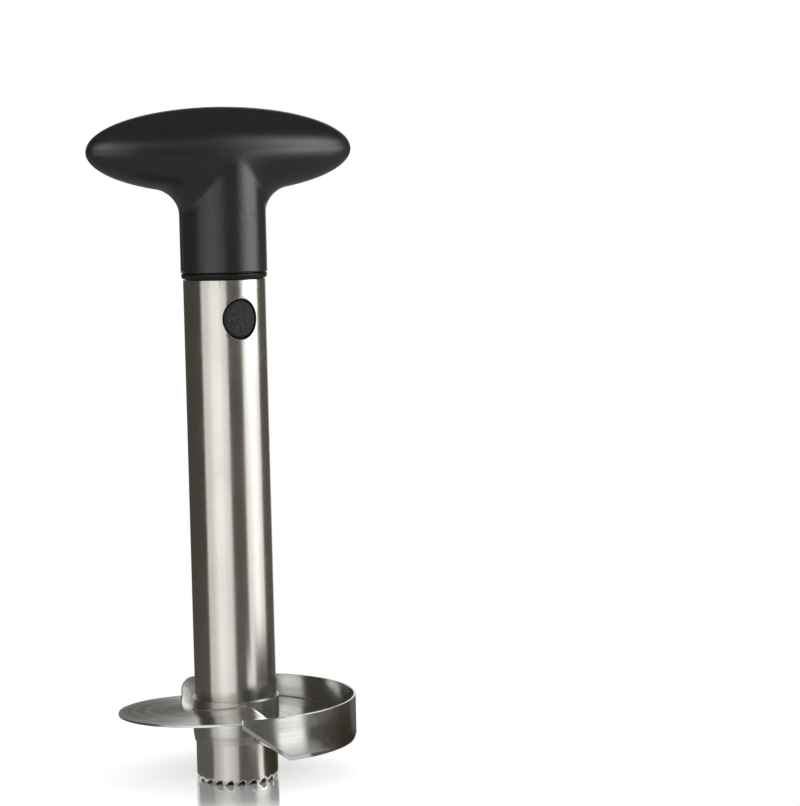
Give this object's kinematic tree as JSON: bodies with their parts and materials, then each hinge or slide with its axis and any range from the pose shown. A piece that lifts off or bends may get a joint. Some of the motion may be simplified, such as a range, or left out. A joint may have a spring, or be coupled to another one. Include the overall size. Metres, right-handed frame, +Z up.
{
  "type": "pineapple slicer",
  "caption": "Hand tool with a T-shaped grip on a steel coring tube that carries a spiral slicing blade and a raked cutter wall; two sprung buttons release the grip.",
  "frame": {"origin": "centre of the tube's toothed mouth, at the level of the tooth tips that the slicer stands on", "axes": "+Z up the tube to the grip, +X along the grip's bar, -Y towards the front release button and the slot of the spiral blade"},
  "size_m": [0.1018, 0.088, 0.245],
  "materials": {
    "grip": "satin black, very fine moulded grain",
    "plug": "satin black, smooth",
    "button": "matte black, lightly textured face",
    "tube": "satin stainless steel, fine grain along the tube",
    "blade": "bright satin stainless sheet with ground edges",
    "spring": "drawn spring wire",
    "fastener": "plain machined steel"
  },
  "bodies": {
    "slicer": {"grip_front_shell": "grip", "grip_rear_shell": "grip", "grip_pin": "fastener", "plug_core": "plug", "plug_end_cap": "plug", "cap_screw_left": "fastener", "cap_screw_right": "fastener", "button_spring_front": "spring", "button_spring_rear": "spring", "corer_tube": "tube", "blade_hub": "tube", "helical_blade": "blade", "cutter_wall": "blade"},
    "button_front": {"release_button_front": "button"},
    "button_rear": {"release_button_rear": "button"}
  },
  "joints": [
    {"name": "front_button_press", "type": "slide", "parent": "slicer", "child": "button_front", "axis": [0, 1, 0], "range_m": [0, 0.0026], "stiffness_N_per_m": 800, "springref_m": -0.003, "deforming": ["button_spring_front"]},
    {"name": "rear_button_press", "type": "slide", "parent": "slicer", "child": "button_rear", "axis": [0, -1, 0], "range_m": [0, 0.0026], "stiffness_N_per_m": 800, "springref_m": -0.003, "deforming": ["button_spring_rear"]}
  ]
}
